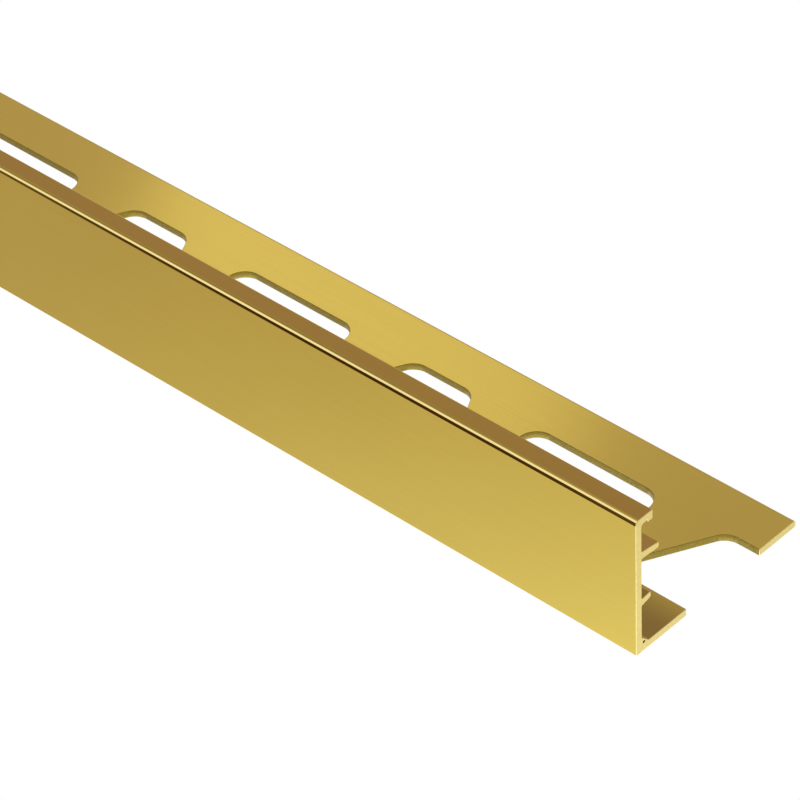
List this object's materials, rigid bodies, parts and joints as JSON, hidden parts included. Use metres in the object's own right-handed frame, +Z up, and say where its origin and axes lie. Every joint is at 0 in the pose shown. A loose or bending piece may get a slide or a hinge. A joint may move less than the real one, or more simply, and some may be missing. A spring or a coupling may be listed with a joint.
{
  "type": "threshold strip",
  "caption": "L-shaped brass edge and threshold strip: upright wall with a small top lip and two grip ribs, on a flat anchoring leg with alternating trapezoid perforations.",
  "frame": {"origin": "centre of the bounding box in X and Y, on the underside of the anchoring leg (Z = 0)", "axes": "+X along the strip, +Y from the visible front face towards the free edge of the anchoring leg, +Z up from the leg to the lip"},
  "size_m": [0.735, 0.0286, 0.02],
  "materials": {
    "brass": "satin extruded brass, fine lines along the strip, sawn ends"
  },
  "bodies": {
    "root": {"edge_profile": "brass"}
  },
  "joints": []
}
